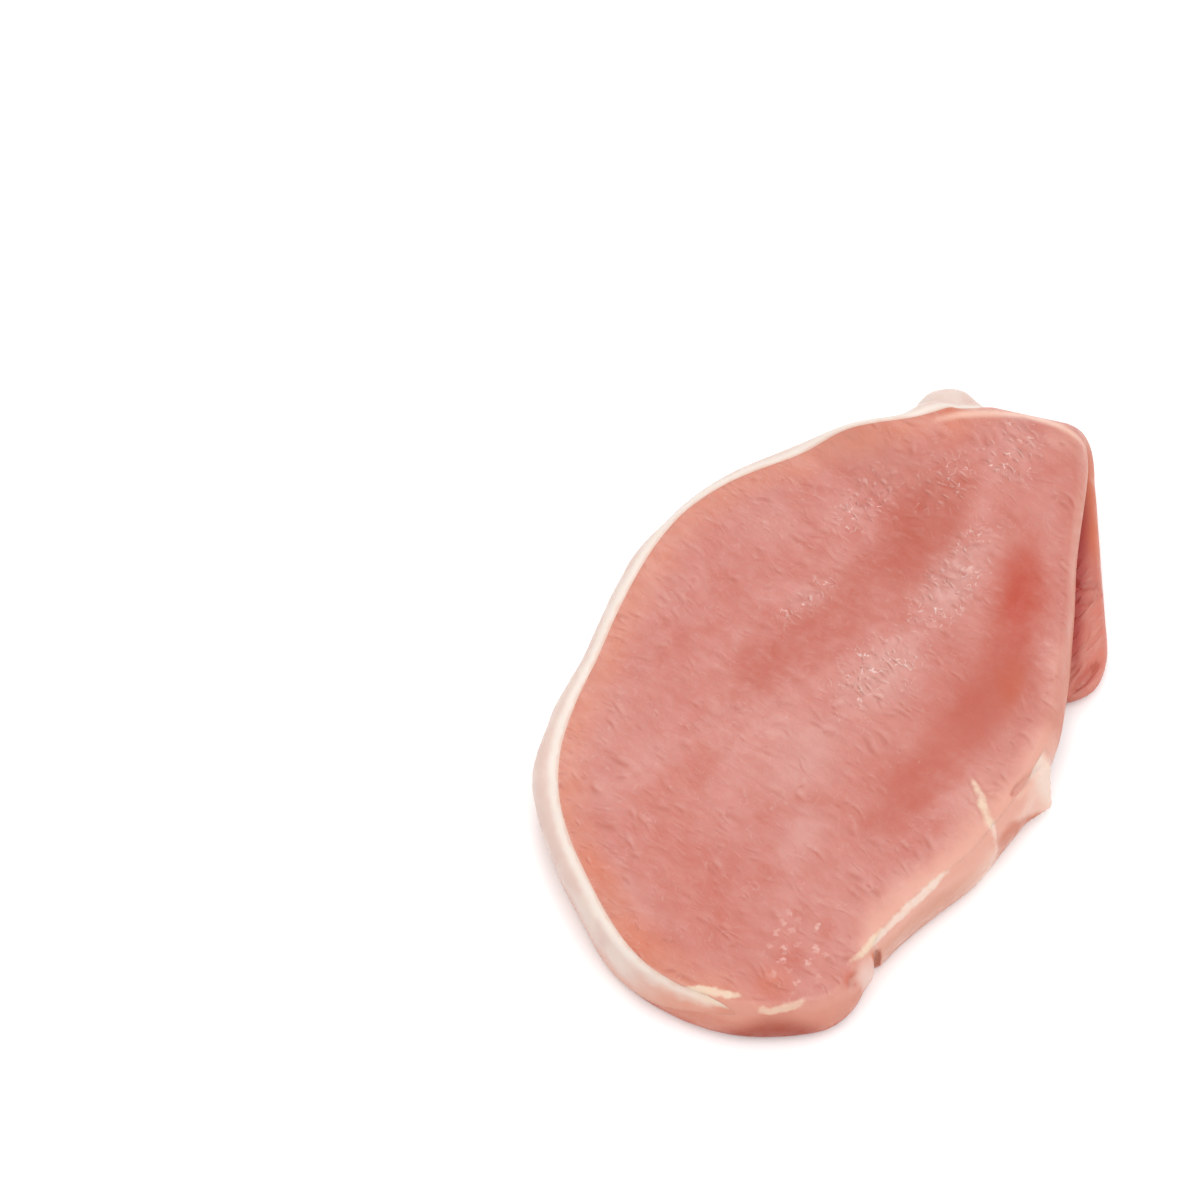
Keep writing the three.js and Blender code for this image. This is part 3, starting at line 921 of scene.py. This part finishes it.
# Patches on the upper face: a strength, then a centre, a reach, a turn and a softness each
leanPatches = {
    "rosy": (0.9, [
        ((20, 14), (9, 5), 10, 1.0),
        ((58, -12), (7, 6), 0, 1.0),
        ((49, -15.5), (7, 4.5), 0, 1.0),
        ((51, -4), (8, 6), 0, 1.0),
        ((-52, -5), (7, 8), 0, 1.0),
    ]),
    "deep": (0.5, [
        ((42, -3), (9, 6), 20, 1.0),
        ((-50, -16), (5, 3.4), 20, 1.0),
        ((-45, -18.5), (4, 2.4), 30, 1.0),
    ]),
    "orange": (0.55, [
        ((-58, 7), (5, 9), -20, 1.0),
        ((-49, 19), (8, 4), 45, 1.0),
        ((10, -27), (6, 3), 20, 0.9),
        ((-56, -15.5), (5, 4.4), 30, 1.0),
        ((53, 2), (7, 4), 30, 1.0),
    ]),
    # painted sheen along the ridge
    "sheen": (0.7, [
        ((24, -11), (14, 5.5), -8, 0.9),
        ((4, -7), (15, 7), -10, 1.0),
        ((-16, -2), (14, 9), -10, 1.0),
        ((-30, -8), (10, 6), 0, 1.0),
    ]),
    # painted highlight along the rounded rims
    "rim": (0.5, [
        ((58, -17), (4, 7), -15, 0.9),
        ((40, -28), (15, 3.4), 20, 0.9),
        ((12, -34.5), (17, 4.4), 12, 0.9),
        ((-14, -30.5), (16, 5), -15, 0.9),
        ((-34, -24.5), (12, 4), -15, 1.0),
    ]),
}
fleckPatch = ((-48.5, -16), (10, 6.5), 20, 0.6)
darkCore = ((26, -22.3), (20, 7), 16, 1.0)
slitPlace = ((-43.2, -27.8, 5), (1.35, 3.6, 6.2), 29, 0.45)
# Spots in space, laid over the rest; the plain ones keep an even edge
leanSpots = {
    "lobe": (0.85, [((27, -32, 4), (15, 12, 4.6), 0, 0.5)]),
    # painted shade in the gap under the fold, tinted orange
    "gapShadeOrange": (0.75, [((53.5, -25, 6.5), (14, 6, 5), 18, 0.5)]),
    "footShade": (0.9, [((-61, -17, 1.5), (9, 12, 7.5), -20, 0.6), ((-52, -27, 0), (8, 5, 4), 0, 0.8)]),
    "slit": (1.0, [slitPlace]),
    "knob": (0.9, [((-46.6, -26.4, 6.4), (3, 2.6, 5), -17, 0.6)]),
    # painted shade in the small hollow
    "pitShade": (0.9, [((-50, -25.4, 9.8), (2.6, 1.8, 1.8), -20, 0.8)]),
}
plainSpots = ("slit", "knob", "pitShade")
# Fibre marks of three sizes: each has a shift of the whole pattern, a turn and the group's own values
leanMarks = {
    "coarse": ((0, 0, 0), 16, {"Spacing": 2.9, "Length": 5.2, "Width": 0.6, "Presence": 0.5, "Bow": 0.05}),
    "fine": ((31.7, 12.9, 0), 8,
             {"Spacing": 1.7, "Length": 3.1, "Width": 0.34, "Presence": 0.45, "Bow": 0.12}),
    "flakes": ((7.3, 41.1, 0), 24,
               {"Spacing": 1.25, "Length": 2.1, "Width": 0.3, "Presence": 0.85, "Bow": 0.5}),
}
leanFinish = {
    "IOR": 1.4, "Subsurface Weight": 0.18, "Subsurface Radius": (1.0, 0.35, 0.22),
    "Subsurface Scale": 1.1 * mm, "Coat Roughness": 0.3,
}


def leanMaterial():
    material, tree, shader = newMaterial("leanMeat")
    look = {name: shown(colour) for name, colour in leanLook.items()}
    place = millimetres(tree)
    parts = add(tree, "SeparateXYZ", {0: place})
    wandered = wander(tree, place, 13.0, 2.0, 6.0)
    wall, face, rim = fact(tree, "wall"), fact(tree, "face"), fact(tree, "rim")

    # Broad tones: rosy and paler drifts, the peach band inside the fat, a painted sheen on the ridge, and
    # the troughs, darker and redder partly in their own colour and partly as painted shade
    tone = blend(tree, ramp(tree, cloud(tree, place, 16.0, 2.0), 0.36, 0.64), look["base"], look["rosy"])
    mottled = ramp(tree, cloud(tree, place, 4.0, 2.0, 0.5), 0.4, 0.7)
    fromFat = plus(tree, fact(tree, "fatDistance"), centredNoise(tree, place, 6.0, 4.0))
    tone = blendAll(tree, tone, (
        (mottled, 0.2, look["sheen"]),
        (ramp(tree, fromFat, 1.0, 7.0, 1.0, 0.0), 0.75, look["peach"]),
    ))
    for name, (strength, found) in leanPatches.items():
        tone = blend(tree, times(tree, patches(tree, wandered, found), face, strength), tone, look[name])
    # the troughs and their core: partly their own deeper colour, partly painted shade in the valleys
    band = {}
    for name in ("nearShade", "backTrough", "cutTrough"):
        edge = plus(tree, fact(tree, name), centredNoise(tree, place, 7.0, 0.7))
        band[name] = times(tree, ramp(tree, edge, 0.1, 1.1), face)
    core = times(tree, patchMask(tree, wandered, darkCore), face)
    tone = blendAll(tree, tone, (
        (band["nearShade"], 0.75, look["nearShade"]),
        (band["backTrough"], 0.62, look["trough"]),
        (band["cutTrough"], 0.6, look["trough"]),
        (core, 0.75, look["core"]),
    ))

    # Fibre marks and the wet cobbled grain, with painted highlights and glints on it
    marks = {}
    for name, (shift, turn, sizes) in leanMarks.items():
        shifted = vectorMaths(tree, "ADD", place, shift)
        marks[name] = useGroup(tree, fibreMarks, {"Vector": shifted, "Turn": math.radians(turn), **sizes})
    coarse, fine, flakes = marks["coarse"], marks["fine"], marks["flakes"]
    grain = useGroup(tree, wetGrain, {
        "Vector": place, "Size": 1.9, "Stretch": 1.5, "Turn": math.radians(18),
    })
    # The troughs are smoother and drier than the rest of the face
    troughs = times(tree, band["cutTrough"], 0.9), times(tree, band["backTrough"], 0.4)
    smoothBand = maths(tree, "MAXIMUM", maths(tree, "MAXIMUM", *troughs), core)
    calm = maths(tree, "SUBTRACT", 1.0, smoothBand, clamp=True)
    patchy = ramp(tree, cloud(tree, place, 7.0, 2.0), 0.35, 0.6, 0.35, 1.0)
    cobbled = times(tree, fact(tree, "cobbled"), calm)
    marked = times(tree, patchy, face, calm)
    dark = times(tree, maths(tree, "MAXIMUM", coarse["Dark"], times(tree, fine["Dark"], 0.7)), marked)
    pale = times(tree, maths(tree, "MAXIMUM", coarse["Pale"], times(tree, fine["Pale"], 0.7)), marked)
    ragged = wander(tree, place, 1.1, 2.0, 2.6)
    dots = add(tree, "TexVoronoi", {"Vector": ragged, "Scale": 0.46}, voronoi_dimensions="2D")
    dotShare = ramp(tree, dots.outputs["Distance"], 0.1, 0.34, 1.0, 0.0)
    chosen = ramp(tree, add(tree, "SeparateXYZ", {0: dots.outputs["Color"]}).outputs["X"], 0.4, 0.8)
    flecks = times(tree, dotShare, chosen, patchMask(tree, wandered, fleckPatch), face)
    tail = fact(tree, "tail")
    wrinkled = ramp(tree, turnedNoise(tree, place, math.radians(12), (4.5, 1.1, 3.0)), 0.4, 0.7)
    tone = blendAll(tree, tone, (
        (times(tree, coarse["Streak"], face, calm), 0.14, look["markDark"]),
        (times(tree, fine["Streak"], face, calm), 0.1, look["markPale"]),
        # the pale lines are painted highlights on the marks' lit edges; the dark marks are grooves with
        # painted shade
        (pale, 0.25, look["markPale"]),
        (dark, 0.42, look["markDark"]),
        # painted sheen on the lumps' tops, the flakes' dark sides, painted soft glints on their pale sides,
        # painted glints, then the pale flecks
        (times(tree, grain["Height"], cobbled), 0.35, look["sheen"]),
        (times(tree, flakes["Dark"], cobbled), 0.4, look["markDark"]),
        (times(tree, flakes["Pale"], cobbled), 0.55, look["fleckAndSoftGlint"]),
        (times(tree, grain["Glint"], cobbled), 0.9, look["glint"]),
        (flecks, 0.7, look["fleckAndSoftGlint"]),
    ))

    # Walls with painted shade at their foot, the pale rim above them with its painted highlight, and the
    # silverskin's tone beside it, the same painted rim highlight
    lifted = plus(tree, parts.outputs["Z"], centredNoise(tree, place, 5.0, 3.0))
    wallTone = blend(tree, ramp(tree, lifted, 0.6, 4.4), shown(leanLook["wallFootShade"], wallLight),
                     shown(leanLook["wall"], wallLight))
    rimHighlightTone = shown(leanLook["rim"], rimLight)
    fromSkin = plus(tree, fact(tree, "skinDistance"), centredNoise(tree, place, 3.0, 2.4))
    tone = blendAll(tree, tone, (
        (wall, 1.0, wallTone),
        (times(tree, rim, ramp(tree, parts.outputs["X"], -20.0, 10.0, 0.5, 0.15)), 1.0, rimHighlightTone),
        (fact(tree, "foldRimHighlight"), 0.12, rimHighlightTone),
        (fact(tree, "farRimHighlight"), 0.85, shown(leanLook["farRimHighlight"], rimLight)),
        (ramp(tree, fromSkin, 0.3, 5.0, 1.0, 0.0), 1.0, rimHighlightTone),
    ))

    # Torn cream lines, of which the seam ridge's is partly a painted highlight on its crest, the spots in
    # space, and painted shade in the deep creases and under the fold
    for name, strength in (("nearFat", 0.95), ("membrane", 0.7), ("creamLine", 1.0), ("seamRidge", 0.9)):
        tone = blend(tree, times(tree, tornLine(tree, place, name), strength), tone, look["cream"])
    for name, (strength, found) in leanSpots.items():
        where = place if name in plainSpots else wandered
        tone = blend(tree, times(tree, patches(tree, where, found), strength), tone, look[name])
        # painted highlights on the wrinkles of the folded end
        if name == "lobe":
            tone = blend(tree, times(tree, wrinkled, tail, 0.35), tone, look["rim"])
    # painted shade in the creases and under the fold
    for name, strength in (
        ("underFold", 0.75), ("flapCrease", 0.8), ("tailCrease", 0.6), ("tailFold", 0.5), ("tailCurl", 0.9),
    ):
        tone = blend(tree, times(tree, fact(tree, name), strength), tone, look["foldShade"])
    tree.links.new(tone, shader.inputs["Base Color"])

    wet = ramp(tree, cloud(tree, place, 2.4, 3.0, 0.65), 0.35, 0.7, 0.36, 0.56)
    tree.links.new(wet, shader.inputs["Roughness"])
    filmed = ramp(tree, cloud(tree, place, 6.0, 2.0), 0.35, 0.65, 0.08, 0.3)
    filmed = times(tree, filmed, calm, ramp(tree, wall, 0.0, 1.0, 1.0, 0.1))
    tree.links.new(plus(tree, filmed, times(tree, cobbled, 0.3)), shader.inputs["Coat Weight"])
    bumped(tree, shader, plus(
        tree,
        times(tree, grain["Height"], cobbled, 0.45),
        times(tree, flakes["Pale"], cobbled, 0.1),
        times(tree, flakes["Dark"], cobbled, -0.08),
        times(tree, wrinkled, tail, 0.16),
        times(tree, dark, -0.03),
        times(tree, coarse["Streak"], face, calm, 0.06),
        times(tree, cloud(tree, place, 0.9, 3.0, 0.6), 0.06),
    ))
    feed(tree, shader, leanFinish)
    return material


fatLook = {
    "base": (241, 220, 210),
    "cool": (235, 207, 197),
    "inner": (249, 236, 226),
    "blush": (238, 192, 174),
    "foot": (232, 166, 145),
    "last": (228, 160, 140),
    "nearEnd": (245, 204, 184),
    "tip": (250, 226, 204),
}
fatFinish = {
    "IOR": 1.4, "Subsurface Weight": 0.25, "Subsurface Radius": (1.0, 0.7, 0.5),
    "Subsurface Scale": 1.2 * mm, "Coat Weight": 0.15, "Coat Roughness": 0.25,
}


def fatMaterial():
    material, tree, shader = newMaterial("fatCapFat")
    look = {name: shown(colour, fatLight) for name, colour in fatLook.items()}
    place = millimetres(tree)
    face = fact(tree, "face")
    height = add(tree, "SeparateXYZ", {0: place}).outputs["Z"]
    lifted = plus(tree, height, centredNoise(tree, place, 4.0, 3.0))
    fromLean = plus(tree, fact(tree, "leanDistance"), centredNoise(tree, place, 2.5, 0.8))
    # How far along towards the near end, where the fat turns pinker and ends in a pale tip
    nearEnd = vectorMaths(tree, "DOT_PRODUCT", place, (0.62, 0.78, 0.0), "Value")
    faded = plus(tree, nearEnd, centredNoise(tree, place, 3.0, 3.0))
    tips = plus(tree, nearEnd, centredNoise(tree, place, 1.6, 2.0))
    low = times(tree, ramp(tree, tips, -42.0, -32.0, 1.0, 0.0), ramp(tree, lifted, 7.4, 9.8, 1.0, 0.0))
    last = times(tree, ramp(tree, tips, -47.0, -44.0, 1.0, 0.0), ramp(tree, height, 9.0, 10.0, 1.0, 0.0))
    high = times(tree, ramp(tree, tips, -46.0, -40.0, 1.0, 0.0), ramp(tree, height, 8.8, 10.0))
    tone = blendAll(tree, look["base"], (
        (ramp(tree, cloud(tree, place, 7.0, 3.0), 0.35, 0.65), 1.0, look["cool"]),
        (ramp(tree, faded, -52.0, -30.0, 1.0, 0.0), 0.8, look["nearEnd"]),
        (times(tree, ramp(tree, fromLean, 1.0, 2.2, 1.0, 0.0), face), 0.9, look["inner"]),
        (ramp(tree, fromLean, 0.1, 0.7, 1.0, 0.0), 0.6, look["blush"]),
        (ramp(tree, lifted, 1.0, 8.0, 1.0, 0.0), 0.85, look["foot"]),
        (low, 0.9, look["foot"]),
        (last, 1.0, look["last"]),
        (high, 1.0, look["tip"]),
    ))
    waxy = ramp(tree, cloud(tree, place, 3.0, 3.0), 0.35, 0.65, 0.4, 0.58)
    tree.links.new(tone, shader.inputs["Base Color"])
    tree.links.new(waxy, shader.inputs["Roughness"])
    bumped(tree, shader, times(tree, cloud(tree, place, 1.4, 3.0, 0.55), 0.1))
    feed(tree, shader, fatFinish)
    return material


silverskinLook = {
    "flesh": (224, 164, 144),
    # darker at the foot: painted shade where the wall meets the floor
    "foot": (208, 126, 102),
    "shoulder": (241, 194, 177),
    "film": (243, 198, 182),
    "cream": (248, 224, 210),
    "shade": (212, 134, 110),
    # painted shade in the flap's crease
    "crease": (196, 108, 84),
}
silverskinFinish = {
    "IOR": 1.4, "Subsurface Weight": 0.25, "Subsurface Radius": (1.0, 0.5, 0.35),
    "Subsurface Scale": 1.0 * mm, "Coat Weight": 0.3, "Coat Roughness": 0.2,
}


def silverskinMaterial():
    material, tree, shader = newMaterial("silverskinFilm")
    look = {name: shown(colour, wallLight) for name, colour in silverskinLook.items()}
    place = millimetres(tree)
    rimHighlightTone = shown(leanLook["rim"], rimLight)
    parts = add(tree, "SeparateXYZ", {0: place})
    along = plus(tree, parts.outputs["X"], centredNoise(tree, place, 4.0, 3.0))
    height = plus(tree, parts.outputs["Z"], centredNoise(tree, place, 3.0, 2.0))
    # The flap hangs lower towards its free end, and the wall under it lies in its shade
    hem = plus(tree, height, times(tree, plus(tree, parts.outputs["X"], 9.4), 0.8))
    under = times(tree, ramp(tree, along, -17.5, -14.0), ramp(tree, hem, 6.0, 8.0, 1.0, 0.0))
    # The upper edge has the tone of the meat's rim beside it, with its painted highlight, so that no seam
    # shows
    beside = ramp(tree, fact(tree, "leanDistance"), 0.2, 1.6, 1.0, 0.0)
    meeting = times(tree, maths(tree, "MAXIMUM", fact(tree, "rim"), beside),
                    ramp(tree, height, 6.5, 9.0), ramp(tree, along, -8.0, -4.0, 1.0, 0.0))
    freeEdge = maths(tree, "MAXIMUM", ramp(tree, along, -4.5, -1.5), ramp(tree, height, 9.0, 10.4))
    # the foot tone at the bottom is painted shade where the wall meets the floor, giving way to the flesh
    # tone higher up
    tone = blendAll(tree, look["foot"], (
        (ramp(tree, height, 0.5, 4.0), 1.0, look["flesh"]),
        (ramp(tree, along, -28.0, -16.0), 1.0, look["shoulder"]),
        (ramp(tree, along, -12.0, -6.0), 1.0, look["film"]),
        (under, 1.0, look["shade"]),
        (meeting, 1.0, rimHighlightTone),
        (times(tree, ramp(tree, along, -9.0, -4.0), freeEdge), 0.85, look["cream"]),
        # the lean rim's tone, with its painted highlight, at the strip's far end
        (ramp(tree, parts.outputs["X"], 0.2, 2.2), 1.0, rimHighlightTone),
        (tornLine(tree, place, "creamLine"), 0.9, look["cream"]),
        # the seam ridge's cream line: pale tissue along its crest, partly a painted highlight
        (tornLine(tree, place, "seamRidge"), 0.85, look["cream"]),
        # painted shade in the flap's crease
        (fact(tree, "flapCrease"), 0.9, look["crease"]),
        (patchMask(tree, place, slitPlace), 1.0, shown(leanLook["slit"])),
    ))
    moist = ramp(tree, cloud(tree, place, 2.0, 3.0), 0.35, 0.65, 0.3, 0.5)
    tree.links.new(tone, shader.inputs["Base Color"])
    tree.links.new(moist, shader.inputs["Roughness"])
    bumped(tree, shader, times(tree, cloud(tree, place, 1.2, 3.0, 0.55), 0.12))
    feed(tree, shader, silverskinFinish)
    return material


for piece, material, node, slot in (
    (lean, leanMaterial(), "lean_eye", "lean_meat"),
    (fat, fatMaterial(), "fat_cap", "fat"),
    (silverskin, silverskinMaterial(), "silverskin", "silverskin"),
):
    piece.data.materials.clear()
    piece.data.materials.append(material)
    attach(piece, "root")
    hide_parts(node)
print("materials laid on")
